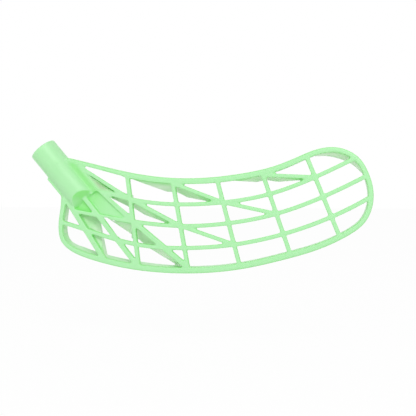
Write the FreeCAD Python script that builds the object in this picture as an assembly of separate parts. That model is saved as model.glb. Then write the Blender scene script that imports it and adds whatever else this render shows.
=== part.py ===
import FreeCAD, Part
import math
import os

Vector = FreeCAD.Vector

# Blade: X runs from heel to toe, Z is up, the front face looks along -Y.
# The origin lies on the neck's axis, level with the shoulder where the shaft stops.
blade_length = 250.0
blade_height = 98.6
blade_depth = 12.0
heel_offset = 1.6
toe_rise = 13.8
sole_drop = blade_height - toe_rise

# Hook: the face is flat at the heel, then bends forward in an arc towards the toe
hook_start = 40.0
hook_radius = 1500.0

# Outer edge of the rim from the throat over the top, round the toe and back along the sole, as shares
# of the blade's length from the heel, and of its rise above the shoulder or its drop below
outline_shares = (
    (0.110, 0.221), (0.243, -0.0535), (0.374, -0.1025), (0.488, -0.1025), (0.598, -0.0675), (0.722, 0.107),
    (0.783, 0.557), (0.828, 0.871), (0.887, 1.000), (0.928, 0.786), (0.959, 0.371), (0.982, -0.050),
    (0.997, -0.190), (0.997, -0.3465), (0.975, -0.500), (0.926, -0.620), (0.844, -0.742), (0.723, -0.858),
    (0.599, -0.9465), (0.471, -0.992), (0.341, -0.995), (0.208, -0.952), (0.108, -0.8815), (0.040, -0.799),
    (0.010, -0.715), (0.000, -0.5825), (0.005, -0.430),
)

# Both ends of the rim run into the neck: places along its axis and across it
rim_throat_along = -7.3
rim_throat_across = 6.65
rim_heel_along = 15.0
rim_heel_across = -5.4

# Width of the rim, blended from stop to stop along the outline
throat_rim_width = 3.6
top_rim_width = 4.3
toe_rim_width = 3.5
sole_rim_width = 4.6
heel_rim_width = 3.7
rim_middle_share = 0.5
rim_edge_radius = 1.3
rim_edge_facet_count = 2
rim_width_stop_shares = (0.0, 0.130, 0.305, 0.383, 0.500, 0.597, 0.850, 0.919, 1.0)
rim_widths = (throat_rim_width, top_rim_width, top_rim_width, toe_rim_width, toe_rim_width,
              sole_rim_width, sole_rim_width, heel_rim_width, heel_rim_width)

# Stretches of the rim and the shares of the outline where they meet
rim_stretches = ("top_rim_heel", "top_rim_middle", "top_rim_toe", "toe_rim_upper", "toe_rim_lower",
                 "sole_rim_toe", "sole_rim_middle", "sole_rim_heel", "heel_rim_corner", "heel_rim")
rim_cut_shares = (0.0, 0.15, 0.276, 0.349, 0.432, 0.515, 0.636, 0.763, 0.880, 0.933, 1.0)
stretch_station_count = 7

# Neck: a hollow tube, its spigot above the shoulder and its barrel below
neck_angle = 49.5
neck_radius = 11.45
spigot_radius = 11.25
spigot_length = 20.2
spigot_lip_radius = 1.2
spigot_lip_facet_count = 2
shaft_wall = 2.0
core_radius = 8.4
core_depth = 41.0
barrel_length = 28.0
barrel_end_slope = 45.0

# Cheeks: bars beside the barrel, placed along the neck's axis; the throat cheek stands off the barrel's side
heel_cheek_start = 2.2
heel_cheek_end = 20.0
heel_cheek_proud = 0.4
throat_cheek_start = 12.0
throat_cheek_end = 37.2
throat_cheek_offset = 3.45
throat_cheek_width = 2.8

# Thin skins beside and below the barrel, set back from the front face: the pocket's floor is a ramp
skin_thickness = 2.5
throat_recess = 4.6
pocket_recess = 3.4
pocket_end_recess = 0.5
throat_web_start = 3.0
throat_web_corner = 10.5

# Ribs and braces all stand this deep behind the front face
bar_depth = 4.0

# Cross ribs: where each crosses the blade's middle height, and how far it leans from upright
cross_rib_width = 3.0
cross_rib_middle_shares = (0.249, 0.402, 0.557, 0.716, 0.880)
cross_rib_leans = (7.2, 10.3, 15.0, 19.2, 22.3)
middle_height_share = -0.472

# Long ribs: how far down the cross ribs each passes, and where it meets the toe. The upper one starts at the
# throat cheek's end, the middle one at the heel brace and the lower one at the heel rim.
long_rib_width = 2.9
long_rib_names = ("upper_rib", "middle_rib", "lower_rib")
middle_rib_start_share = 0.226
lower_rib_start_shares = ((0.012, -0.527), (0.102, -0.607))
long_rib_crossing_shares = (0.248, 0.505, 0.768)
long_rib_toe_shares = ((0.942, 0.364), (0.980, -0.0895), (0.990, -0.279))
band_station_count = 13

# Braces: heavy ones fan out from the neck to the sole, light ones step down from rib to rib. The pocket
# brace starts past the barrel's end and stands on the first cross rib's foot; the heel brace starts in the rim.
cheek_brace_width = 3.9
pocket_brace_width = 3.7
pocket_brace_along = 5.0
pocket_brace_across = 2.2
pocket_brace_foot_share = 1.033
heel_brace_width = 4.0
heel_brace_rim_share = 0.9861
heel_brace_foot_share = 0.157
light_brace_width = 2.7
throat_brace_along = 17.2
throat_brace_across = 17.0

# Webs: slanted walls from the back of the braces to the back of the blade
web_thickness = 2.2
web_overrun = 4.0
web_bite = 0.5
upper_web_drop_share = 0.43
middle_web_start_drop = 4.3
middle_web_drop_share = 0.45
lower_web_start_share = 0.273
lower_web_drop_share = 0.83
lower_web_rim_share = 0.754
toe_side_web_rim_share = 0.240
toe_side_web_drop_share = 0.26
heel_web_level_shares = (0.262, 0.237)
heel_web_span_shares = (0.105, 0.75)
heel_web_end_shares = (0.97, 0.985)
toe_web_reach = 4.0
toe_web_end_reach = 0.6
toe_web_span_shares = (0.354, 0.430)
toe_web_station_count = 5

# A whole turn, in degrees
full_turn = 360.0

# Run of every cut past the solid that it trims
cut_overrun = 6.0


def blade_point(shares):
    """Point of the blade's plane, by its shares of the length and of the rise or drop."""
    height = toe_rise if shares[1] > 0 else sole_drop
    return Vector(heel_offset + shares[0] * blade_length, 0, shares[1] * height)


def neck_point(along, across):
    """Point of the blade's plane, measured along the neck's axis and across it towards the toe."""
    angle = math.radians(neck_angle)
    return Vector(along * math.cos(angle) + across * math.sin(angle), 0,
                  across * math.cos(angle) - along * math.sin(angle))


def between(start, end, share):
    return start + (end - start) * share


def lengthened(start, end, overrun):
    """Both ends of a line, moved outwards."""
    step = (end - start).normalize() * overrun
    return start - step, end + step


def hook_at(x):
    """How far the hook brings the face forward at x."""
    run = max(x - hook_start, 0)
    return hook_radius - math.sqrt(hook_radius ** 2 - run ** 2)


def on_depth(point, depth):
    """The same point, at a depth behind the hooked front face."""
    return Vector(point.x, depth - blade_depth / 2 - hook_at(point.x), point.z)


def slab(front_depth, back_depth):
    """Space between two depths behind the hooked front face."""
    left = min(heel_offset, neck_point(0, -neck_radius - heel_cheek_proud).x) - cut_overrun
    right = heel_offset + blade_length + cut_overrun
    low = -sole_drop - cut_overrun
    high = toe_rise + cut_overrun
    halfway = (hook_start + right) / 2
    edges = []
    ends = []
    for depth in (front_depth, back_depth):
        corner = on_depth(Vector(left, 0, low), depth)
        bend = on_depth(Vector(hook_start, 0, low), depth)
        tip = on_depth(Vector(right, 0, low), depth)
        edges.append(Part.makeLine(corner, bend))
        edges.append(Part.Arc(bend, on_depth(Vector(halfway, 0, low), depth), tip).toShape())
        ends.append((corner, tip))
    edges.append(Part.makeLine(ends[0][0], ends[1][0]))
    edges.append(Part.makeLine(ends[0][1], ends[1][1]))
    face = Part.Face(Part.Wire(Part.__sortEdges__(edges)))
    return face.extrude(Vector(0, 0, high - low))


def prism(face, space):
    """Flat face drawn through the whole blade and kept where it lies in the given space."""
    front = -blade_depth - hook_at(heel_offset + blade_length) - cut_overrun
    body = face.translated(Vector(0, front, 0)).extrude(Vector(0, blade_depth - 2 * front, 0))
    return body.common(space)


def polygon(points):
    return Part.Face(Part.makePolygon(list(points) + [points[0]]))


def bar(start, end, width):
    """Straight bar of even width, with square ends, between two points of the blade's plane."""
    square = (end - start).cross(Vector(0, 1, 0))
    return strut(start, end, width, square, square)


def strut(start, end, width, start_cut, end_cut):
    """Straight bar whose ends are cut along the given directions, those of the members it runs between."""
    along = end - start
    side = along.cross(Vector(0, 1, 0)).normalize() * (width / 2)
    left = [meeting(point + side, along, point, cut) for point, cut in ((start, start_cut), (end, end_cut))]
    right = [meeting(point - side, along, point, cut) for point, cut in ((end, end_cut), (start, start_cut))]
    return polygon(left + right)


def meeting(point, direction, other_point, other_direction):
    """Where two lines of the blade's plane cross."""
    normal = other_direction.cross(Vector(0, 1, 0))
    return point + direction * ((other_point - point).dot(normal) / direction.dot(normal))


def curve_through(points, parameters=None):
    curve = Part.BSplineCurve()
    if parameters is None:
        curve.interpolate(Points=points)
    else:
        curve.interpolate(Points=points, Parameters=parameters)
    return curve


def inward(curve, parameter):
    """Unit vector to the right of a curve's direction, which is towards the inside of the rim."""
    along = curve.tangent(parameter)[0]
    return Vector(along.z, 0, -along.x).normalize()


def spread(first, last, count):
    return [first + (last - first) * step / (count - 1) for step in range(count)]


def band(points, width):
    """Curved bar of even width along a smooth line through the points."""
    centre = curve_through(points)
    stations = spread(centre.FirstParameter, centre.LastParameter, band_station_count)
    sides = []
    for half in (-width / 2, width / 2):
        shifted = [centre.value(u) + inward(centre, u) * half for u in stations]
        sides.append(curve_through(shifted, stations))
    return ribbon(sides[0], sides[1], stations[0], stations[-1])


def ribbon(first, second, start, end):
    """Face between two curves that share their parameters."""
    edges = [first.toShape(start, end), second.toShape(start, end)]
    edges += [Part.makeLine(first.value(u), second.value(u)) for u in (start, end)]
    return Part.Face(Part.Wire(Part.__sortEdges__(edges)))


def rim_width(share):
    """Width of the rim at a share of the outline, blended between its stops."""
    for stop in range(1, len(rim_widths)):
        first, last = rim_width_stop_shares[stop - 1:stop + 1]
        if share <= last:
            before, after = rim_widths[stop - 1:stop + 1]
            return before + (after - before) * (share - first) / (last - first)
    return rim_widths[-1]


# Rim edges
outer_edge = curve_through([neck_point(rim_throat_along, rim_throat_across)]
                           + [blade_point(shares) for shares in outline_shares]
                           + [neck_point(rim_heel_along, rim_heel_across)])
outline_run = outer_edge.LastParameter - outer_edge.FirstParameter


def outline_at(share):
    return outer_edge.FirstParameter + outline_run * share


def in_rim(share, width_share):
    """Point of the rim at a share of the outline, and at a share of the rim's width from its outer edge."""
    place = outline_at(share)
    return outer_edge.value(place) + inward(outer_edge, place) * (rim_width(share) * width_share)


rim_stations = [0.0]
for first_cut, last_cut in zip(rim_cut_shares, rim_cut_shares[1:]):
    rim_stations += spread(first_cut, last_cut, stretch_station_count)[1:]
rim_places = [outline_at(station) for station in rim_stations]
inner_edge = curve_through([in_rim(station, 1) for station in rim_stations], rim_places)
inside = Part.Face(Part.Wire([inner_edge.toShape(), Part.makeLine(in_rim(1, 1), in_rim(0, 1))]))


def rounding(radius, facet_count):
    """Quarter circle of facets, each point by how far it lies from the side and from the end."""
    turns = spread(0, math.pi / 2, facet_count + 1)
    return [(radius * (1 - math.cos(turn)), radius * (1 - math.sin(turn))) for turn in turns]


def rim_section(station):
    """Corners of the rim's section: its rounded front, its inner wall and its rounded back."""
    place = outline_at(station)
    corners = rounding(rim_edge_radius, rim_edge_facet_count) + [(rim_width(station), 0)]
    side = inward(outer_edge, place)
    points = [(outer_edge.value(place) + side * inset, depth) for inset, depth in corners]
    front = [on_depth(point, depth) for point, depth in points]
    back = [on_depth(point, blade_depth - depth) for point, depth in reversed(points)]
    return front + back


rim_lines = [curve_through(list(points), rim_places) for points in zip(*map(rim_section, rim_stations))]


def make_rim_faces():
    """Flat shapes of the rim's stretches."""
    faces = {}
    for number, name in enumerate(rim_stretches):
        start, end = (outline_at(share) for share in rim_cut_shares[number:number + 2])
        faces[name] = ribbon(outer_edge, inner_edge, start, end)
    return faces


def rim_stretch(number):
    """Solid of one stretch of the rim."""
    start, end = (outline_at(share) for share in rim_cut_shares[number:number + 2])
    return swept(rim_lines, start, end)


def swept(lines, start, end):
    """Solid along the lines that the corners of a section run on, between two of their places."""
    edges = [line.toShape(start, end) for line in lines]
    faces = [Part.makeRuledSurface(first, second) for first, second in zip(edges, edges[1:] + edges[:1])]
    faces += [polygon([line.value(place) for line in lines]) for place in (start, end)]
    shell = Part.Shell(faces)
    shell.sewShape()
    solid = Part.Solid(shell)
    if solid.Volume < 0:
        solid.reverse()
    return solid


def make_neck():
    """Spigot and barrel of the hollow neck, and the solid space that they take up."""
    turn = (Vector(0, 0, 0), Vector(0, 1, 0), neck_angle)
    along = Vector(1, 0, 0)
    slope = math.tan(math.radians(barrel_end_slope))
    barrel_tip = barrel_length + neck_radius / slope
    mouth = Vector(-spigot_length, 0, 0)
    lip = rounding(spigot_lip_radius, spigot_lip_facet_count)
    profile = [Vector(0, 0, 0), Vector(0, 0, spigot_radius)]
    profile += [Vector(depth - spigot_length, 0, spigot_radius - inset) for inset, depth in lip]
    profile.append(mouth)
    spigot = polygon(profile).revolve(Vector(0, 0, 0), along, full_turn)
    barrel = Part.makeCylinder(neck_radius, barrel_tip, Vector(0, 0, 0), along)
    wedge = polygon((Vector(0, -neck_radius, -neck_radius),
                     Vector(barrel_length, -neck_radius, -neck_radius),
                     Vector(barrel_tip, 0, -neck_radius),
                     Vector(barrel_length, neck_radius, -neck_radius),
                     Vector(0, neck_radius, -neck_radius)))
    barrel = barrel.common(wedge.extrude(Vector(0, 0, 2 * neck_radius)))
    core = Part.makeCylinder(core_radius, core_depth, mouth, along)
    shaft = Part.makeCylinder(spigot_radius + shaft_wall, spigot_length, mouth, along)
    space = barrel.fuse(shaft)
    pieces = {"hosel_spigot": spigot.cut(core), "hosel_barrel": barrel.cut(core)}
    for piece in (space, *pieces.values()):
        piece.rotate(*turn)
    return pieces, space


def inside_rim(start, end):
    """Highest and lowest point of a line where it lies inside the rim."""
    line = Part.makeLine(start, end).common(inside)
    points = sorted((vertex.Point for vertex in line.Vertexes), key=lambda point: -point.z)
    return points[0], points[-1]


def cross_rib_line(number):
    """Centre line of a cross rib, from the top rim's inner edge to the sole's."""
    centre = blade_point((cross_rib_middle_shares[number], middle_height_share))
    lean = math.radians(cross_rib_leans[number])
    reach = Vector(math.sin(lean), 0, -math.cos(lean)) * blade_height
    return inside_rim(centre - reach, centre + reach)


cross_rib_lines = [cross_rib_line(number) for number in range(len(cross_rib_leans))]


def node(cross, crossing_share):
    """Crossing on a cross rib (counted from 1), by its share of the rib from top to sole."""
    top, sole = cross_rib_lines[cross - 1]
    return between(top, sole, crossing_share)


def rib_run(cross):
    """Direction of a cross rib, counted from 1."""
    top, sole = cross_rib_lines[cross - 1]
    return sole - top


upper, middle, lower = long_rib_crossing_shares
top_end = 0.0
sole_end = 1.0
cheek_across = neck_radius + throat_cheek_offset
upper_start = neck_point(throat_cheek_end, cheek_across + throat_cheek_width / 2)
throat_start = neck_point(throat_brace_along, throat_brace_across)
pocket_line = (neck_point(barrel_length + pocket_brace_along, pocket_brace_across),
               node(1, pocket_brace_foot_share))
heel_foot = inside_rim(blade_point((heel_brace_foot_share, 1)), blade_point((heel_brace_foot_share, -1)))[1]
heel_line = (in_rim(heel_brace_rim_share, rim_middle_share), heel_foot - Vector(0, 0, sole_rim_width / 2))
middle_start = between(*heel_line, middle_rib_start_share)


def make_faces():
    """Flat shapes of cheeks, ribs and braces in order of rank: each is trimmed by those before it."""
    faces = {}
    heel_side = -neck_radius - heel_cheek_proud
    faces["heel_cheek"] = polygon((neck_point(heel_cheek_start, heel_side), neck_point(heel_cheek_start, 0),
                                   neck_point(heel_cheek_end, 0), neck_point(heel_cheek_end, heel_side)))
    faces["throat_cheek"] = bar(neck_point(throat_cheek_start, cheek_across),
                                neck_point(throat_cheek_end, cheek_across), throat_cheek_width)
    for number, (top, sole) in enumerate(cross_rib_lines, 1):
        faces["cross_rib_%d" % number] = bar(*lengthened(top, sole, cross_rib_width / 2), cross_rib_width)
    start = lengthened(upper_start, node(1, middle), cheek_brace_width / 2)[0]
    square = (node(1, middle) - start).cross(Vector(0, 1, 0))
    faces["cheek_brace_upper"] = strut(start, node(1, middle), cheek_brace_width, square, rib_run(1))
    faces["cheek_brace_lower"] = strut(node(1, middle), node(2, sole_end), cheek_brace_width,
                                       rib_run(1), rib_run(2))
    square = (pocket_line[1] - pocket_line[0]).cross(Vector(0, 1, 0))
    faces["pocket_brace"] = strut(*pocket_line, pocket_brace_width, square, Vector(1, 0, 0))
    square = (heel_line[1] - heel_line[0]).cross(Vector(0, 1, 0))
    rim_run = outer_edge.tangent(outline_at(heel_brace_rim_share))[0]
    faces["heel_brace"] = strut(*heel_line, heel_brace_width, rim_run, square)
    starts = ([upper_start], [middle_start], [blade_point(shares) for shares in lower_rib_start_shares])
    ends = zip(long_rib_names, starts, long_rib_crossing_shares, long_rib_toe_shares)
    for name, knots, crossing, toe in ends:
        knots += [node(cross, crossing) for cross in range(1, len(cross_rib_lines) + 1)]
        faces[name] = band(knots + [blade_point(toe)], long_rib_width)
    square = (node(1, upper) - throat_start).cross(Vector(0, 1, 0))
    faces["throat_brace"] = strut(throat_start, node(1, upper), light_brace_width, square, rib_run(1))
    steps = ((2, top_end, 3, upper), (1, upper, 2, middle), (2, middle, 3, lower), (3, upper, 4, middle),
             (4, top_end, 5, upper))
    for number, (first, from_share, second, to_share) in enumerate(steps, 1):
        faces["light_brace_%d" % number] = strut(node(first, from_share), node(second, to_share),
                                                 light_brace_width, rib_run(first), rib_run(second))
    return faces


def make_skins():
    """Flat shapes of the thin skins beside and below the barrel, and the depths that they lie at."""
    throat = polygon((neck_point(throat_web_start, 0), neck_point(throat_web_start, throat_web_corner),
                      neck_point(throat_cheek_start, cheek_across),
                      neck_point(throat_cheek_end, cheek_across), neck_point(barrel_length, 0)))
    pocket = polygon((neck_point(barrel_length, 0), heel_line[0], middle_start, node(1, middle), upper_start,
                      neck_point(barrel_length, neck_radius)))
    return {"pocket_floor": (pocket, ramp()),
            "throat_web": (throat, slab(throat_recess, throat_recess + skin_thickness))}


def ramp():
    """Space of the pocket's floor, which rises from the barrel's end towards the first cross rib."""
    angle = math.radians(neck_angle)
    far = node(1, middle)
    far_along = far.x * math.cos(angle) - far.z * math.sin(angle)
    reach = blade_length
    corners = []
    for along, depth in ((barrel_length, pocket_recess), (far_along, pocket_end_recess),
                         (far_along, pocket_end_recess + skin_thickness),
                         (barrel_length, pocket_recess + skin_thickness)):
        corners.append(neck_point(along, -reach) + Vector(0, depth - blade_depth / 2, 0))
    return polygon(corners).extrude(neck_point(0, 2 * reach))


def web(front_points, back_points, offset):
    """Slanted wall of flat panels, from points behind the braces to points on the back of the blade."""
    rows = []
    for front, back in zip(front_points, back_points):
        near = on_depth(front, bar_depth)
        far = on_depth(back, blade_depth)
        overrun = (far - near).normalize() * web_overrun
        rows.append((near - overrun, far + overrun, front.distanceToPoint(back)))
    panels = []
    for (near, far, slant), (next_near, next_far, next_slant) in zip(rows, rows[1:]):
        if slant > next_slant:
            panels += [(near, next_near, far), (next_near, next_far, far)]
        else:
            panels += [(near, next_near, next_far), (near, next_far, far)]
    walls = [polygon(corners).extrude(offset) for corners in panels]
    return walls[0].fuse(walls[1:])


def bitten(share):
    """Point just inside the rim's inner edge, at a share of the outline."""
    place = outline_at(share)
    return inner_edge.value(place) - inward(inner_edge, place) * web_bite


def under(point):
    """Lower edge of a brace that ends at the point."""
    return point - Vector(0, 0, light_brace_width / 2)


def make_webs():
    """Slanted webs behind the braces."""
    up = Vector(0, 0, web_thickness)
    bite = Vector(0, 0, web_bite)
    astern = Vector(-web_thickness, 0, 0)
    walls = {}
    end = under(node(3, upper))
    drop = between(node(2, top_end), node(2, upper), upper_web_drop_share)
    front = (node(1, top_end), node(2, top_end), end)
    back = (node(1, top_end), drop, end)
    walls["upper_web"] = web(front, back, up)
    end = under(node(2, middle))
    drop = between(node(1, upper), node(1, middle), middle_web_drop_share)
    front = (under(upper_start), under(node(1, upper)), end)
    back = (upper_start - Vector(0, 0, middle_web_start_drop), drop, end)
    walls["middle_web"] = web(front, back, up)
    end = under(node(1, upper)) + up
    walls["throat_brace_web"] = web((under(throat_start), end), (under(upper_start) + up, end), up)
    start = between(*pocket_line, lower_web_start_share)
    drop = between(node(1, middle), node(1, lower), lower_web_drop_share)
    front = (start, under(node(1, middle)), node(2, sole_end) - bite)
    back = (start, drop, bitten(lower_web_rim_share))
    walls["lower_web"] = web(front, back, up)
    start = bitten(toe_side_web_rim_share)
    end = under(node(5, upper))
    drop = between(node(4, top_end), node(4, upper), toe_side_web_drop_share)
    front = (start, node(4, top_end) + bite, end)
    back = (start, drop, end)
    walls["toe_side_web"] = web(front, back, up)
    heel_side, pocket_side = (between(*line, share) for line, share in
                              zip((heel_line, pocket_line), heel_web_level_shares))
    starts = [between(heel_side, pocket_side, share) for share in heel_web_span_shares]
    ends = [between(*heel_line, share) for share in heel_web_end_shares]
    walls["heel_brace_web"] = web((starts[0], ends[0]), (starts[1], ends[1]), astern)
    return walls


def wall_line(depth):
    """Line along the rim's inner wall at a depth."""
    return curve_through([on_depth(in_rim(station, 1), depth) for station in rim_stations], rim_places)


def make_toe_web():
    """Gusset on the rim's inner wall in the toe's upper corner, wider towards the back."""
    places = [outline_at(share) for share in spread(*toe_web_span_shares, toe_web_station_count)]
    edge = []
    for place, turn in zip(places, spread(0, math.pi, toe_web_station_count)):
        reach = between(toe_web_end_reach, toe_web_reach, math.sin(turn))
        edge.append(on_depth(inner_edge.value(place) + inward(inner_edge, place) * reach, blade_depth))
    lines = [wall_line(bar_depth), curve_through(edge, places), wall_line(blade_depth)]
    return swept(lines, places[0], places[-1])


def trimmed(shape, others):
    """Shape without the space of the others that it reaches."""
    near = [other for other in others if shape.BoundBox.intersect(other.BoundBox)]
    return shape.cut(near) if near else shape


def build():
    """All members of the blade, by name."""
    members, neck_space = make_neck()
    whole = slab(0, blade_depth)
    bars = slab(0, bar_depth)
    flats = []
    deep = [neck_space]
    for number, (name, face) in enumerate(make_rim_faces().items()):
        flats.append(face)
        members[name] = trimmed(rim_stretch(number), [neck_space])
    rim_count = len(flats)
    cheek_count = 0
    for name, face in make_faces().items():
        is_cheek = name.endswith("cheek")
        piece = trimmed(prism(trimmed(face, flats), whole if is_cheek else bars), [neck_space])
        flats.append(face)
        members.update(in_bays(name, piece) if name in long_rib_names else {name: piece})
        if is_cheek:
            deep.append(piece)
            cheek_count += 1
    full_depth = flats[:rim_count + cheek_count]
    for name, (face, space) in make_skins().items():
        beside = full_depth if name == "throat_web" else flats
        members[name] = trimmed(prism(trimmed(face, beside), space), deep)
        deep.append(members[name])
    behind = prism(inside, slab(bar_depth, blade_depth))
    for name, wall in make_webs().items():
        members[name] = trimmed(wall.common(behind), deep)
        deep.append(members[name])
    members["toe_web"] = make_toe_web()
    return members


def in_bays(name, rib):
    """Long rib sorted into its bays, counted from the neck to the toe."""
    bays = {}
    for solid in rib.Solids:
        centre = solid.CenterOfMass
        bay = 1
        for top, sole in cross_rib_lines:
            share = (centre.z - top.z) / (sole.z - top.z)
            if centre.x > between(top, sole, share).x:
                bay += 1
        bays.setdefault("%s_bay_%d" % (name, bay), []).append(solid)
    return {bay: Part.makeCompound(found) for bay, found in bays.items()}


os.makedirs("parts", exist_ok=True)
for member, shape in build().items():
    shape.exportStep("parts/%s.step" % member)
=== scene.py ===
import math

import bmesh
import bpy
import numpy
from bpy.props import FloatProperty, FloatVectorProperty, IntProperty, PointerProperty
from mathutils import Matrix, Vector
from mathutils.bvhtree import BVHTree


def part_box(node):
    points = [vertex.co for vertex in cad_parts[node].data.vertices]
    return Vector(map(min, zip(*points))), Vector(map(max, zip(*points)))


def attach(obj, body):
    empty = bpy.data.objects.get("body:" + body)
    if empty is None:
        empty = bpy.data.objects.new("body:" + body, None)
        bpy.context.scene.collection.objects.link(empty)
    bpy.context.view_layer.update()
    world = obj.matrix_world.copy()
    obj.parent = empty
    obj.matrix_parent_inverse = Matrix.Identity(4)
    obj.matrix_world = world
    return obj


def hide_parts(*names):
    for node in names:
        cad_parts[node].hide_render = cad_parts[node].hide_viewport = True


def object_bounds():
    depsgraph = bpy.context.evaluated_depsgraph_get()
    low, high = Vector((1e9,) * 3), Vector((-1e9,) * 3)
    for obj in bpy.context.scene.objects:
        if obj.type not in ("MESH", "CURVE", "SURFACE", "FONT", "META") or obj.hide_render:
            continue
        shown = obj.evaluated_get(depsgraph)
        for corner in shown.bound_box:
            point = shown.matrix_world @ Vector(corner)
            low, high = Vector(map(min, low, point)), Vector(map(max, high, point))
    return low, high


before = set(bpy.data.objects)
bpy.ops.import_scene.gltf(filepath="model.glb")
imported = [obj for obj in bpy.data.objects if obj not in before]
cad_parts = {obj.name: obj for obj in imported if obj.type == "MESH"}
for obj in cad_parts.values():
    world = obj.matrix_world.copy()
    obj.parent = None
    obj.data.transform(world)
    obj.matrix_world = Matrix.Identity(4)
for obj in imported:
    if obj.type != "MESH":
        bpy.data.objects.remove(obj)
cad_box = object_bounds()
cad_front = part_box("cross_rib_1")[0].y

bl_info = {
    "name": "Moulded Blade",
    "version": (1, 0, 0),
    "blender": (4, 5, 0),
    "location": "View3D > Sidebar > Blade",
    "description": "Dresses a floorball blade's members as one translucent plastic moulding",
    "category": "Object",
}


class MouldSettings(bpy.types.PropertyGroup):
    """Sizes of the moulding's surface."""

    grain: FloatProperty(
        name="Grain", description="Size of the cells that the members are melted together in",
        default=0.0004, min=0.0002, subtype="DISTANCE", unit="LENGTH")
    fillet: FloatProperty(
        name="Fillet", description="Radius that rounds the corners where members meet",
        default=0.0003, min=0.0, subtype="DISTANCE", unit="LENGTH")
    swell: FloatProperty(
        name="Swell", description="Added all round to make up for what the smoothing takes off",
        default=0.0001, min=0.0, subtype="DISTANCE", unit="LENGTH")
    melt: FloatProperty(
        name="Melt", description="How strongly each smoothing pass rounds edges and corners",
        default=0.5, min=0.0, max=1.0, subtype="FACTOR")
    melt_passes: IntProperty(
        name="Melt Passes", description="Number of smoothing passes over edges and corners",
        default=6, min=0)
    most_triangles: IntProperty(
        name="Most Triangles", description="Number of triangles that the finished surface keeps at most",
        default=190000, min=1000)
    neck_angle: FloatProperty(
        name="Neck Angle", description="Slope of the neck's axis below the level",
        default=math.radians(49.5), subtype="ANGLE", unit="ROTATION")
    spigot_length: FloatProperty(
        name="Spigot Length", description="From the shoulder to the neck's mouth",
        default=0.0202, min=0.001, subtype="DISTANCE", unit="LENGTH")
    spigot_radius: FloatProperty(
        name="Spigot Radius", description="Radius of the neck above the shoulder",
        default=0.01125, min=0.001, subtype="DISTANCE", unit="LENGTH")
    core_radius: FloatProperty(
        name="Core Radius", description="Radius of the hollow in the neck",
        default=0.0084, min=0.001, subtype="DISTANCE", unit="LENGTH")
    hook_start: FloatProperty(
        name="Hook Start", description="Where the front face starts to bend forward",
        default=0.04, subtype="DISTANCE", unit="LENGTH")
    hook_radius: FloatProperty(
        name="Hook Radius", description="Radius of the front face's bend towards the toe",
        default=1.5, min=0.3, subtype="DISTANCE", unit="LENGTH")
    lip_length: FloatProperty(
        name="Lip Length", description="Length of the square lip round the neck's mouth",
        default=0.003, min=0.0005, subtype="DISTANCE", unit="LENGTH")


class PlasticSettings(bpy.types.PropertyGroup):
    """Colours and surface of the mint plastic, and the colours of its painted light and shade."""

    colour: FloatVectorProperty(
        name="Colour", description="Main colour of the plastic",
        default=(0.445, 0.835, 0.445), min=0.0, max=1.0, size=3, subtype="COLOR")
    cloud_colour: FloatVectorProperty(
        name="Cloud Colour", description="Colour of the plastic where its pigment is denser",
        default=(0.41, 0.825, 0.41), min=0.0, max=1.0, size=3, subtype="COLOR")
    # Painted light: thin walls are painted in this paler, greyer colour for light that comes through them
    # from behind
    backlit_wall_colour: FloatVectorProperty(
        name="Thin Colour", description="Colour of the thin walls behind the front face, paler and greyer",
        default=(0.82, 0.94, 0.79), min=0.0, max=1.0, size=3, subtype="COLOR")
    # Painted shade: darker, more saturated green for shade and for light bouncing in corners, hollows and on
    # rounded edges
    corner_shade_colour: FloatVectorProperty(
        name="Deep Colour", description="Colour where walls meet and light goes far through the plastic",
        default=(0.20, 0.80, 0.12), min=0.0, max=1.0, size=3, subtype="COLOR")
    shade_colour: FloatVectorProperty(
        name="Shade Colour", description="Colour of the narrow cell's floor, which little light reaches",
        default=(0.43, 0.63, 0.36), min=0.0, max=1.0, size=3, subtype="COLOR")
    # Painted light: depths over which thin walls take the paler colour of light coming through them
    backlit_wall_depths: FloatVectorProperty(
        name="Thin Depths", description="Depths behind the front face between which the plastic turns pale",
        default=(0.0020, 0.0070), size=2, subtype="NONE", unit="LENGTH")
    # Painted shade: how far off another wall still puts painted corner shade on a point
    corner_reach: FloatProperty(
        name="Corner Reach", description="How far off another wall still deepens a corner's colour",
        default=0.009, min=0.0005, subtype="DISTANCE", unit="LENGTH")
    corner_rays: IntProperty(
        name="Corner Rays", description="Number of directions in which each point looks for other walls",
        default=20, min=4)
    cloud_size: FloatProperty(
        name="Cloud Size", description="Width of the pigment's clouds",
        default=0.03, min=0.001, subtype="DISTANCE", unit="LENGTH")
    glow: FloatProperty(
        name="Glow", description="Share of the light that spreads inside the plastic",
        default=0.2, min=0.0, max=1.0, subtype="FACTOR")
    glow_depth: FloatProperty(
        name="Glow Depth", description="How far light spreads inside the plastic",
        default=0.004, min=0.0, subtype="DISTANCE", unit="LENGTH")
    polish: FloatProperty(
        name="Polish", description="Roughness of the surface where the mould was smoothest",
        default=0.34, min=0.0, max=1.0, subtype="FACTOR")
    dullness: FloatProperty(
        name="Dullness", description="Roughness of the surface where the mould was dullest",
        default=0.46, min=0.0, max=1.0, subtype="FACTOR")
    skin_size: FloatProperty(
        name="Skin Size", description="Width of the fine waves that the mould leaves in the surface",
        default=0.0022, min=0.0001, subtype="DISTANCE", unit="LENGTH")
    skin_height: FloatProperty(
        name="Skin Height", description="Height of those waves",
        default=0.00002, min=0.0, subtype="DISTANCE", unit="LENGTH")


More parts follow.
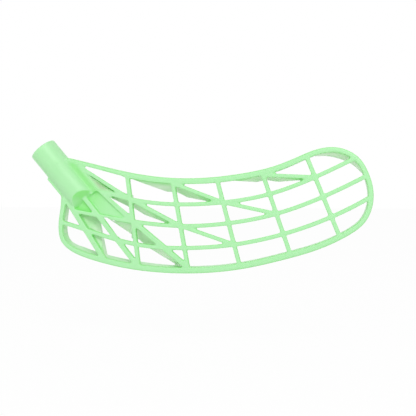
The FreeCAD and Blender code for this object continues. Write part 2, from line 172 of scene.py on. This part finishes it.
class StageSettings(bpy.types.PropertyGroup):
    """Camera, floor, sky and lamps."""

    aim: FloatVectorProperty(
        name="Aim", description="Point in the middle of the picture",
        default=(0.12475, -0.00079, -0.03265), size=3, subtype="TRANSLATION", unit="LENGTH")
    distance: FloatProperty(
        name="Distance", description="From the camera to the aim",
        default=0.52, min=0.1, subtype="DISTANCE", unit="LENGTH")
    azimuth: FloatProperty(
        name="Azimuth", description="Turn of the camera round the blade, from square on towards the toe",
        default=math.radians(8.3), subtype="ANGLE", unit="ROTATION")
    elevation: FloatProperty(
        name="Elevation", description="Angle of the camera above the horizon",
        default=math.radians(1.6), subtype="ANGLE", unit="ROTATION")
    lens: FloatProperty(
        name="Lens", description="Focal length, in millimetres on a 36 mm wide sensor",
        default=56.42, min=10.0)
    clip_start: FloatProperty(
        name="Clip Start", description="Least distance from the camera at which things show",
        default=0.01, min=0.001, subtype="DISTANCE", unit="LENGTH")
    floor_drop: FloatProperty(
        name="Floor Drop", description="Height of the blade's sole above the floor",
        default=0.06, min=0.0, subtype="DISTANCE", unit="LENGTH")
    floor_size: FloatProperty(
        name="Floor Size", description="Length of the floor's sides",
        default=8.0, min=1.0, subtype="DISTANCE", unit="LENGTH")
    floor_glow: FloatProperty(
        name="Floor Glow", description="Share of the floor's white that shadows leave as it is",
        default=0.94, min=0.0, max=1.0, subtype="FACTOR")
    sky_strength: FloatProperty(
        name="Sky Strength", description="Strength of the even light from all sides",
        default=0.73, min=0.0)
    key_place: FloatVectorProperty(
        name="Key Place", description="Place of the key lamp, from the aim: above the camera, to its right",
        default=(0.25, -0.95, 0.75), size=3, subtype="TRANSLATION", unit="LENGTH")
    key_size: FloatProperty(
        name="Key Size", description="Length of the key lamp's sides",
        default=0.6, min=0.01, subtype="DISTANCE", unit="LENGTH")
    key_power: FloatProperty(
        name="Key Power", description="Power of the key lamp",
        default=4.7, min=0.0, subtype="POWER", unit="POWER")
    fill_place: FloatVectorProperty(
        name="Fill Place", description="Place of the fill lamp, from the aim: on the camera's left",
        default=(-0.9, -0.9, 0.2), size=3, subtype="TRANSLATION", unit="LENGTH")
    fill_size: FloatProperty(
        name="Fill Size", description="Length of the fill lamp's sides",
        default=0.8, min=0.01, subtype="DISTANCE", unit="LENGTH")
    fill_power: FloatProperty(
        name="Fill Power", description="Power of the fill lamp",
        default=1.0, min=0.0, subtype="POWER", unit="POWER")


def add_node(tree, kind, values=None, **settings):
    """New shader node with the given settings and constant inputs."""
    node = tree.nodes.new(kind)
    for name, value in settings.items():
        setattr(node, name, value)
    for name, value in (values or {}).items():
        node.inputs[name].default_value = value
    return node


def connect(tree, links):
    """Links pairs of an output and an input."""
    for source, target in links:
        tree.links.new(source, target)


def empty_tree(owner):
    """Node tree of a material or a world, cleared of its nodes."""
    owner.use_nodes = True
    owner.node_tree.nodes.clear()
    return owner.node_tree


def add_object(name, data):
    """New object in the scene."""
    item = bpy.data.objects.new(name, data)
    bpy.context.scene.collection.objects.link(item)
    return item


def add_shape(name, shape):
    """New object in the scene with the shape as its mesh. The shape is used up."""
    mesh = bpy.data.meshes.new(name)
    shape.to_mesh(mesh)
    shape.free()
    return add_object(name, mesh)


def make_plastic(plastic):
    """Translucent mint plastic with faint clouds of pigment and the fine waves of a moulded skin. Its colour
    also carries painted light and shade: thin walls painted paler for light through them, and painted shade
    in corners, hollows and on the narrow cell's floor.
    """
    material = bpy.data.materials.new("mint_plastic")
    tree = empty_tree(material)
    place = add_node(tree, "ShaderNodeTexCoord")
    clouds = add_node(tree, "ShaderNodeTexNoise",
                      {"Scale": 1 / plastic.cloud_size, "Detail": 3.0, "Roughness": 0.5})
    colour = add_node(tree, "ShaderNodeMix",
                      {"A": (*plastic.colour, 1), "B": (*plastic.cloud_colour, 1)}, data_type="RGBA")
    # Painted light: thin walls mixed towards the paler colour of light that comes through them
    thin = add_node(tree, "ShaderNodeAttribute", attribute_name="thin_wall_backlight")
    backlit_wall_mix = add_node(tree, "ShaderNodeMix", {"B": (*plastic.backlit_wall_colour, 1)}, data_type="RGBA")
    # Painted shade in corners, hollows, on rounded edges and on the barrel's end
    corner_shade = add_node(tree, "ShaderNodeAttribute", attribute_name="painted_corner_shade")
    corner_shaded = add_node(tree, "ShaderNodeMix", {"B": (*plastic.corner_shade_colour, 1)}, data_type="RGBA")
    # Painted shade on the narrow cell's floor
    shade = add_node(tree, "ShaderNodeAttribute", attribute_name="cell_floor")
    floor_shaded = add_node(tree, "ShaderNodeMix", {"B": (*plastic.shade_colour, 1)}, data_type="RGBA")
    sheen = add_node(tree, "ShaderNodeMapRange",
                     {"From Min": 0.3, "From Max": 0.7, "To Min": plastic.polish, "To Max": plastic.dullness})
    waves = add_node(tree, "ShaderNodeTexNoise",
                     {"Scale": 1 / plastic.skin_size, "Detail": 2.0, "Roughness": 0.5})
    skin = add_node(tree, "ShaderNodeBump", {"Strength": 1.0, "Distance": plastic.skin_height})
    shader = add_node(tree, "ShaderNodeBsdfPrincipled",
                      {"Subsurface Weight": plastic.glow, "Subsurface Radius": (1.0, 1.0, 1.0),
                       "Subsurface Scale": plastic.glow_depth, "IOR": 1.49})
    output = add_node(tree, "ShaderNodeOutputMaterial")
    connect(tree, (
        (place.outputs["Object"], clouds.inputs["Vector"]),
        (place.outputs["Object"], waves.inputs["Vector"]),
        (clouds.outputs["Fac"], colour.inputs["Factor"]),
        (clouds.outputs["Fac"], sheen.inputs["Value"]),
        (waves.outputs["Fac"], skin.inputs["Height"]),
        (colour.outputs["Result"], backlit_wall_mix.inputs["A"]),
        (thin.outputs["Fac"], backlit_wall_mix.inputs["Factor"]),
        (backlit_wall_mix.outputs["Result"], corner_shaded.inputs["A"]),
        (corner_shade.outputs["Fac"], corner_shaded.inputs["Factor"]),
        (corner_shaded.outputs["Result"], floor_shaded.inputs["A"]),
        (shade.outputs["Fac"], floor_shaded.inputs["Factor"]),
        (floor_shaded.outputs["Result"], shader.inputs["Base Color"]),
        (sheen.outputs["Result"], shader.inputs["Roughness"]),
        (skin.outputs["Normal"], shader.inputs["Normal"]),
        (shader.outputs["BSDF"], output.inputs["Surface"]),
    ))
    return material


# Gusset where the throat cheek, the top rim and the throat brace meet: corners along the neck and across it
throat_gusset = ((0.0120, 0.0135), (0.0122, 0.0200), (0.0180, 0.0200), (0.0220, 0.0175), (0.0204, 0.0150))
throat_gusset_depths = (-0.0058, -0.0035)

# Strip that carries the heel cheek's outer edge on into the heel rim: corners in X and Z
heel_strip = ((0.0039, -0.0225), (0.00405, -0.0248), (0.0038, -0.0297), (0.0033, -0.0346),
              (0.0055, -0.0360), (0.0075, -0.0225))
heel_strip_depths = (-0.0052, 0.0052)

# Floor of the saddle between the barrel and the throat cheek: corners along the neck and across it
saddle = ((0.0000, 0.0060), (0.0000, 0.0075), (0.0060, 0.0119), (0.0100, 0.0148), (0.0360, 0.0149),
          (0.0360, 0.0080))
saddle_depths = (-0.0057, -0.0010)

# Narrow cell between the throat cheek and the throat brace: corners in X and Z. It has a floor, whose block
# reaches in under the members round it.
narrow_cell = ((0.0243, -0.0042), (0.0354, -0.0188), (0.0505, -0.0210))
narrow_cell_depths = (-0.0100, -0.0036)
narrow_floor = ((0.0235, -0.0030), (0.0352, -0.0192), (0.0520, -0.0215), (0.0515, -0.0195),
                (0.0255, -0.0025))
narrow_floor_depths = (-0.0036, 0.0012)

# Open ends of cells, which run back through the webs at a slant: corners in X and Z, and slants in X and Z
sharp_end = ((0.0250, 0.0004), (0.0252, -0.0009), (0.0568, -0.0204), (0.0567, -0.0073), (0.0260, 0.0009))
sharp_end_slant = (-0.34, 0.04)
pocket_end = ((0.0405, -0.0405), (0.0520, -0.0558), (0.0640, -0.0583), (0.0640, -0.0541),
              (0.0432, -0.0405))
pocket_end_slant = (-0.31, -0.05)
rib_end = ((0.0452, -0.0240), (0.0609, -0.0372), (0.0610, -0.0315))
rib_end_slant = (-0.28, -0.03)
open_ends = ((sharp_end, sharp_end_slant), (pocket_end, pocket_end_slant), (rib_end, rib_end_slant))
open_end_depths = (-0.0080, 0.0100)

# Wedge that makes the sole's inner wall rise towards the back: places along the blade and heights. It runs
# along those of the sole's points whose normals rise by more than least_rise and that lie behind back_depth.
sole_members = ("heel_rim_corner", "sole_rim_heel", "sole_rim_middle")
wedge_places = (0.009, 0.020, 0.040, 0.057, 0.075, 0.097, 0.115)
wedge_heights = (0.0, 0.0018, 0.0014, 0.0014, 0.0011, 0.0006, 0.0)
wedge_length = 0.0095
wedge_sink = 0.0005
least_rise = 0.2
back_depth = 0.0119
weld_distance = 0.000001

lip_facets = 96


def neck_axis(mould):
    """Direction of the neck's axis, from its mouth down into the blade."""
    return math.cos(mould.neck_angle), 0, -math.sin(mould.neck_angle)


def neck_point(mould, along, across):
    """Point of the blade's plane, measured along the neck's axis and across it towards the toe."""
    angle = mould.neck_angle
    return Vector((along * math.cos(angle) + across * math.sin(angle), 0,
                   across * math.cos(angle) - along * math.sin(angle)))


def front_depth(mould, places):
    """How far each place lies behind the hooked front face."""
    run = numpy.maximum(places[:, 0] - mould.hook_start, 0)
    hook = mould.hook_radius - numpy.sqrt(mould.hook_radius ** 2 - run ** 2)
    return places[:, 1] + hook - cad_front


def add_plate(shape, corners, depths, slant=(0.0, 0.0)):
    """Flat plate between two depths, through corners in X and Z of the front face, with slanted sides."""
    sides = []
    for depth in depths:
        run = depth - cad_front
        sides.append([shape.verts.new((x + slant[0] * run, depth, z + slant[1] * run)) for x, z in corners])
    front, back = sides
    shape.faces.new(front)
    shape.faces.new(reversed(back))
    for number in range(len(corners)):
        shape.faces.new((front[number - 1], back[number - 1], back[number], front[number]))


def add_lip(shape, mould):
    """Square lip round the neck's mouth."""
    mouth = -mould.spigot_length
    lip_end = mouth + mould.lip_length
    profile = ((mouth, mould.core_radius), (mouth, mould.spigot_radius),
               (lip_end, mould.spigot_radius), (lip_end, mould.core_radius))
    corners = [shape.verts.new(neck_point(mould, along, radius)) for along, radius in profile]
    edges = [shape.edges.new((corners[number - 1], corners[number])) for number in range(len(corners))]
    bmesh.ops.spin(shape, geom=corners + edges, cent=(0, 0, 0), axis=Vector(neck_axis(mould)),
                   angle=2 * math.pi, steps=lip_facets, use_merge=True)


def sole_edge(mould):
    """Points along the inner edge of the sole's back, from the heel to the middle."""
    points = []
    for name in sole_members:
        shape = bmesh.new()
        shape.from_mesh(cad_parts[name].data)
        bmesh.ops.remove_doubles(shape, verts=shape.verts, dist=weld_distance)
        shape.normal_update()
        points += [corner.co.copy() for corner in shape.verts if corner.normal.z > least_rise]
        shape.free()
    depths = front_depth(mould, numpy.array(points))
    points = [point for point, depth in zip(points, depths)
              if depth > back_depth and wedge_places[0] <= point.x <= wedge_places[-1]]
    return sorted(points, key=lambda point: point.x)


def add_wedge(shape, edge):
    """Wedge along the edge, thickest at the back."""
    sections = []
    for point in edge:
        rise = float(numpy.interp(point.x, wedge_places, wedge_heights))
        shifts = ((0, -wedge_length, -wedge_sink), (0, 0, rise), (0, 0, -wedge_sink))
        sections.append([shape.verts.new(point + Vector(shift)) for shift in shifts])
    for first, second in zip(sections, sections[1:]):
        for number in range(len(first)):
            shape.faces.new((first[number - 1], second[number - 1], second[number], first[number]))
    shape.faces.new(sections[0])
    shape.faces.new(reversed(sections[-1]))


def gather_members(name, mould):
    """New object that holds a copy of every member of the frame, with the forms that join them."""
    shape = bmesh.new()
    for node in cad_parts.values():
        shape.from_mesh(node.data)
    for outline, depths in ((throat_gusset, throat_gusset_depths), (saddle, saddle_depths)):
        corners = [neck_point(mould, along, across) for along, across in outline]
        add_plate(shape, [(corner.x, corner.z) for corner in corners], depths)
    add_plate(shape, heel_strip, heel_strip_depths)
    add_plate(shape, narrow_floor, narrow_floor_depths)
    add_wedge(shape, sole_edge(mould))
    add_lip(shape, mould)
    return add_shape(name, shape)


def apply_modifiers(piece):
    """Makes what the modifiers show the piece's own mesh."""
    shown = piece.evaluated_get(bpy.context.evaluated_depsgraph_get())
    mesh = bpy.data.meshes.new_from_object(shown)
    piece.modifiers.clear()
    piece.data = mesh


def melt_together(piece, grain):
    """Joins all that overlaps or touches into one surface of even cells."""
    melt = piece.modifiers.new("melt_together", "REMESH")
    melt.mode = "VOXEL"
    melt.voxel_size = grain
    melt.use_smooth_shade = True


def grow(piece, distance):
    """Moves the surface outwards, or inwards where the distance is below zero."""
    growth = piece.modifiers.new("grow", "DISPLACE")
    growth.mid_level = 0.0
    growth.strength = distance


def cut_away(piece, corners, depths, slant=(0.0, 0.0)):
    """Takes the space of a plate out of the piece."""
    shape = bmesh.new()
    add_plate(shape, corners, depths, slant)
    bmesh.ops.recalc_face_normals(shape, faces=shape.faces)
    cutter = add_shape("cutter", shape)
    cut = piece.modifiers.new("cut_away", "BOOLEAN")
    cut.operation = "DIFFERENCE"
    cut.solver = "MANIFOLD"
    cut.object = cutter
    apply_modifiers(piece)
    bpy.data.objects.remove(cutter)
    if not piece.data.polygons:
        raise RuntimeError("a cut left nothing of the moulding")


# Neck: how far from its axis and how far down its walls get no painted backlight, only the neck's own painted
# shade
neck_reach = 0.0128
neck_end = 0.034

# Start of each look for other walls, off the surface, and passes that even out what was found
ray_offset = 0.00005
blur_passes = 2

# Distances inside an outline over which it takes effect
outline_margins = (-0.0002, 0.0003)

# Painted light: thin walls are painted paler and greyer for light that comes through them from behind.
# They lose a share of that paleness by the back edge, where they face up and where they face back.
# Facings are parts of a unit normal.
back_edge_loss, back_edge_depths = 0.45, (0.009, 0.012)
up_loss, up_facings = 0.5, (0.3, 0.8)
back_loss, back_facings = 0.9, (0.3, 0.8)

# Narrow cell's floor, painted in the shade colour because little light reaches it
cell_floor_depths = (0.0012, 0.0020)

# Painted shade on the front's rounded edges, where they turn away from the front
edge_share, edge_facings, edge_depths = 0.5, (0.55, 0.98), (0.0035, 0.0070)

# Painted shade by how closed in a place is: on the pocket's floor, on the neck and in tight corners in front
lying_facings = (0.5, 0.9)
half_closed = (0.05, 0.50)
tight_share, tight_closed, tight_depths = 0.6, (0.70, 1.00), (0.004, 0.008)

# Painted shade on the barrel's slanted end, which faces down along the neck
end_share, end_facings, end_across = 0.65, (0.2, 0.6), (-0.0065, -0.0025)

# Painted shade in the saddle: where it comes and goes across the neck and along it, and where depth ends it
saddle_share = 0.5
saddle_across = ((0.0085, 0.0115), (0.0130, 0.0165))
saddle_along = ((0.002, 0.008), (0.036, 0.042))
saddle_fade = (0.003, 0.006)


def smooth_step(value, low, high):
    """Rises from 0 at low to 1 at high, evenly at both ends."""
    share = numpy.clip((value - low) / (high - low), 0, 1)
    return share * share * (3 - 2 * share)


def between(value, rise, fall):
    """Rises from 0 to 1 over the first range and falls back to 0 over the second."""
    return smooth_step(value, *rise) * (1 - smooth_step(value, *fall))


def point_rows(items, name):
    """One value of every point, in rows of three numbers."""
    values = numpy.empty(3 * len(items))
    items.foreach_get(name, values)
    return values.reshape(-1, 3)


def closeness(mesh, places, normals, reach, ray_count):
    """Share of each point's view that other walls close off within reach."""
    tree = BVHTree.FromPolygons(places.tolist(), [tuple(face.vertices) for face in mesh.polygons])
    rays = []
    for number in range(ray_count):
        turn = number * math.pi * (3 - math.sqrt(5))
        height = (number + 0.5) / ray_count
        spread = math.sqrt(1 - height)
        rays.append((math.cos(turn) * spread, math.sin(turn) * spread, math.sqrt(height)))
    closed = numpy.zeros(len(places))
    for number, (place, normal) in enumerate(zip(places, normals)):
        normal = Vector(normal)
        side = normal.orthogonal().normalized()
        other = normal.cross(side)
        start = Vector(place) + normal * ray_offset
        hits = 0
        for x, y, z in rays:
            if tree.ray_cast(start, side * x + other * y + normal * z, reach)[0] is not None:
                hits += 1
        closed[number] = hits / ray_count
    return closed


def blurred(mesh, values):
    """Values of the points, in each pass averaged with those of their neighbours."""
    ends = numpy.empty(2 * len(mesh.edges), dtype=numpy.int32)
    mesh.edges.foreach_get("vertices", ends)
    first, second = ends[0::2], ends[1::2]
    counts = numpy.bincount(ends, minlength=len(values)) + 1
    for step in range(blur_passes):
        sums = values + numpy.bincount(first, values[second], len(values)) + numpy.bincount(
            second, values[first], len(values))
        values = sums / counts
    return values


def inside(corners, places):
    """1 well inside a convex outline in X and Z, 0 outside."""
    middle = numpy.mean(corners, axis=0)
    margin = numpy.full(len(places), numpy.inf)
    for number, corner in enumerate(corners):
        side = numpy.array(corner) - corners[number - 1]
        normal = numpy.array((-side[1], side[0])) / numpy.linalg.norm(side)
        if normal @ (middle - corner) < 0:
            normal = -normal
        margin = numpy.minimum(margin, (places[:, (0, 2)] - corner) @ normal)
    return smooth_step(margin, *outline_margins)


def in_box(name, places):
    """True for places in the box round a member."""
    low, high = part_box(name)
    return ((places >= numpy.array(low)) & (places <= numpy.array(high))).all(axis=1)


def mark_walls(piece, mould, plastic):
    """Writes the painted light and shade into the piece's points: thin walls painted paler for light through
    them, painted shade in corners and hollows, and painted shade on the narrow cell's floor.
    """
    mesh = piece.data
    places = point_rows(mesh.vertices, "co")
    normals = point_rows(mesh.vertex_normals, "vector")
    depth = front_depth(mould, places)
    axis = numpy.array(neck_axis(mould))
    along = places @ axis
    across = places[:, 0] * math.sin(mould.neck_angle) + places[:, 2] * math.cos(mould.neck_angle)
    off_axis = numpy.linalg.norm(places - numpy.outer(along, axis), axis=1)
    on_neck = (off_axis < neck_reach) & (along < neck_end)
    # Painted shade: the narrow cell's floor, which little light reaches
    floor = inside(narrow_cell, places) * smooth_step(depth, *cell_floor_depths)

    # Painted light: paleness on thin walls for light that comes through them from behind
    thin = smooth_step(depth, *plastic.backlit_wall_depths)
    thin *= 1 - back_edge_loss * smooth_step(depth, *back_edge_depths)
    thin *= 1 - up_loss * smooth_step(normals[:, 2], *up_facings)
    thin *= 1 - back_loss * smooth_step(normals[:, 1], *back_facings)
    thin = numpy.where(on_neck, 0, thin)

    # Painted shade from how closed in each point is and from how it faces
    closed = blurred(mesh, closeness(mesh, places, normals, plastic.corner_reach, plastic.corner_rays))
    lying = smooth_step(numpy.abs(normals[:, 1]), *lying_facings)
    pocket = lying * smooth_step(closed, *half_closed) * in_box("pocket_floor", places)
    tight = tight_share * smooth_step(closed, *tight_closed) * (1 - smooth_step(depth, *tight_depths))
    edge = edge_share * (1 - smooth_step(-normals[:, 1], *edge_facings))
    edge *= 1 - smooth_step(depth, *edge_depths)
    barrel_end = end_share * smooth_step(normals @ axis, *end_facings) * smooth_step(across, *end_across)
    neck = numpy.maximum(smooth_step(closed, *half_closed), barrel_end)
    corner_shade = numpy.where(on_neck, neck, numpy.maximum(numpy.maximum(pocket, tight), edge))
    beside_neck = between(across, *saddle_across) * between(along, *saddle_along)
    corner_shade = numpy.maximum(corner_shade, saddle_share * beside_neck * (1 - smooth_step(depth, *saddle_fade)))
    corner_shade = blurred(mesh, corner_shade * (1 - floor))

    for name, values in (("thin_wall_backlight", thin), ("painted_corner_shade", corner_shade), ("cell_floor", floor)):
        mesh.attributes.new(name, "FLOAT", "POINT").data.foreach_set("value", values)


class BLADE_OT_mould(bpy.types.Operator):
    """Melt the blade's members together into one moulding of mint plastic"""

    bl_idname = "blade.mould"
    bl_label = "Mould Blade"

    def execute(self, context):
        mould = context.scene.blade_mould
        piece = gather_members("moulded_blade", mould)
        melt_together(piece, mould.grain)
        grow(piece, mould.swell + mould.fillet)
        melt_together(piece, mould.grain)
        grow(piece, -mould.fillet)
        apply_modifiers(piece)
        cut_away(piece, narrow_cell, narrow_cell_depths)
        for corners, slant in open_ends:
            cut_away(piece, corners, open_end_depths, slant)
        smooth = piece.modifiers.new("round_edges", "SMOOTH")
        smooth.factor = mould.melt
        smooth.iterations = mould.melt_passes
        apply_modifiers(piece)
        if not piece.data.polygons:
            raise RuntimeError("the moulding has no faces")
        triangles = len(piece.data.loops) - 2 * len(piece.data.polygons)
        if triangles > mould.most_triangles:
            thin = piece.modifiers.new("thin_out", "DECIMATE")
            thin.ratio = mould.most_triangles / triangles
            apply_modifiers(piece)
        mark_walls(piece, mould, context.scene.blade_plastic)
        piece.data.materials.clear()
        piece.data.materials.append(make_plastic(context.scene.blade_plastic))
        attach(piece, "root")
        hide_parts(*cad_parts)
        return {"FINISHED"}


white = (1, 1, 1, 1)
matte_white = (0.95, 0.95, 0.95, 1)


def seen_light(tree):
    """Output that is 1 for what is seen straight, mirrored or through a surface, and 0 for other light."""
    path = add_node(tree, "ShaderNodeLightPath")
    seen = add_node(tree, "ShaderNodeMath", operation="MAXIMUM")
    all_seen = add_node(tree, "ShaderNodeMath", operation="MAXIMUM")
    connect(tree, (
        (path.outputs["Is Camera Ray"], seen.inputs[0]),
        (path.outputs["Is Glossy Ray"], seen.inputs[1]),
        (seen.outputs[0], all_seen.inputs[0]),
        (path.outputs["Is Transmission Ray"], all_seen.inputs[1]),
    ))
    return all_seen.outputs[0]


def make_floor_white(glow):
    """White that the camera sees at full strength, less a part that shadows still reach."""
    material = bpy.data.materials.new("floor_white")
    tree = empty_tree(material)
    matte = add_node(tree, "ShaderNodeBsdfDiffuse", {"Color": matte_white})
    light = add_node(tree, "ShaderNodeEmission", {"Color": white, "Strength": 1.0})
    share = add_node(tree, "ShaderNodeMath", {1: glow}, operation="MULTIPLY")
    blend = add_node(tree, "ShaderNodeMixShader")
    output = add_node(tree, "ShaderNodeOutputMaterial")
    connect(tree, (
        (seen_light(tree), share.inputs[0]),
        (share.outputs[0], blend.inputs[0]),
        (matte.outputs[0], blend.inputs[1]),
        (light.outputs[0], blend.inputs[2]),
        (blend.outputs[0], output.inputs["Surface"]),
    ))
    return material


def add_floor(stage):
    """Pale floor below the sole."""
    half = stage.floor_size / 2
    height = cad_box[0][2] - stage.floor_drop
    mesh = bpy.data.meshes.new("floor")
    corners = [(x, y, height) for x, y in ((-half, -half), (half, -half), (half, half), (-half, half))]
    mesh.from_pydata(corners, [], [(0, 1, 2, 3)])
    mesh.materials.append(make_floor_white(stage.floor_glow))
    add_object("floor", mesh)


def add_sky(stage):
    """Even light from all sides, in front of a white background."""
    world = bpy.data.worlds.new("studio")
    tree = empty_tree(world)
    even = add_node(tree, "ShaderNodeBackground", {"Color": white, "Strength": stage.sky_strength})
    backdrop = add_node(tree, "ShaderNodeBackground", {"Color": white, "Strength": 1.0})
    blend = add_node(tree, "ShaderNodeMixShader")
    output = add_node(tree, "ShaderNodeOutputWorld")
    connect(tree, (
        (seen_light(tree), blend.inputs[0]),
        (even.outputs[0], blend.inputs[1]),
        (backdrop.outputs[0], blend.inputs[2]),
        (blend.outputs[0], output.inputs["Surface"]),
    ))
    bpy.context.scene.world = world


def add_lamp(name, place, aim, size, power):
    """Square lamp that faces the aim."""
    lamp = bpy.data.lights.new(name, "AREA")
    lamp.size = size
    lamp.energy = power
    holder = add_object(name, lamp)
    holder.location = place
    holder.rotation_euler = (aim - place).to_track_quat("-Z", "Y").to_euler()


def add_camera(stage, aim):
    """Camera on a line from the aim, turned and raised as the settings say."""
    azimuth = stage.azimuth
    elevation = stage.elevation
    back = Vector((math.sin(azimuth) * math.cos(elevation), -math.cos(azimuth) * math.cos(elevation),
                   math.sin(elevation)))
    right = Vector((math.cos(azimuth), math.sin(azimuth), 0))
    up = back.cross(right)
    camera = bpy.data.cameras.new("camera")
    camera.lens = stage.lens
    camera.clip_start = stage.clip_start
    holder = add_object("camera", camera)
    holder.matrix_world = Matrix.Translation(aim + back * stage.distance) @ Matrix(
        (right, up, back)).transposed().to_4x4()
    bpy.context.scene.camera = holder


class BLADE_OT_stage(bpy.types.Operator):
    """Set up the floor, the sky, the lamps and the camera"""

    bl_idname = "blade.stage"
    bl_label = "Set Up Stage"

    def execute(self, context):
        stage = context.scene.blade_stage
        aim = Vector(stage.aim)
        add_floor(stage)
        add_sky(stage)
        add_lamp("key_lamp", aim + Vector(stage.key_place), aim, stage.key_size, stage.key_power)
        add_lamp("fill_lamp", aim + Vector(stage.fill_place), aim, stage.fill_size, stage.fill_power)
        add_camera(stage, aim)
        context.scene.view_settings.view_transform = "Standard"
        return {"FINISHED"}


class BLADE_PT_panel(bpy.types.Panel):
    """Settings and steps of the blade"""

    bl_idname = "BLADE_PT_panel"
    bl_label = "Moulded Blade"
    bl_space_type = "VIEW_3D"
    bl_region_type = "UI"
    bl_category = "Blade"

    def draw(self, context):
        layout = self.layout
        for settings in (context.scene.blade_mould, context.scene.blade_plastic):
            for name in settings.__annotations__:
                layout.prop(settings, name)
        layout.operator(BLADE_OT_mould.bl_idname)
        for name in context.scene.blade_stage.__annotations__:
            layout.prop(context.scene.blade_stage, name)
        layout.operator(BLADE_OT_stage.bl_idname)


classes = (MouldSettings, PlasticSettings, StageSettings, BLADE_OT_mould, BLADE_OT_stage, BLADE_PT_panel)


def register():
    for item in classes:
        bpy.utils.register_class(item)
    bpy.types.Scene.blade_mould = PointerProperty(type=MouldSettings)
    bpy.types.Scene.blade_plastic = PointerProperty(type=PlasticSettings)
    bpy.types.Scene.blade_stage = PointerProperty(type=StageSettings)


def unregister():
    del bpy.types.Scene.blade_stage
    del bpy.types.Scene.blade_plastic
    del bpy.types.Scene.blade_mould
    for item in reversed(classes):
        bpy.utils.unregister_class(item)


def main():
    register()
    bpy.ops.blade.mould()
    bpy.ops.blade.stage()


if __name__ == "__main__":
    main()
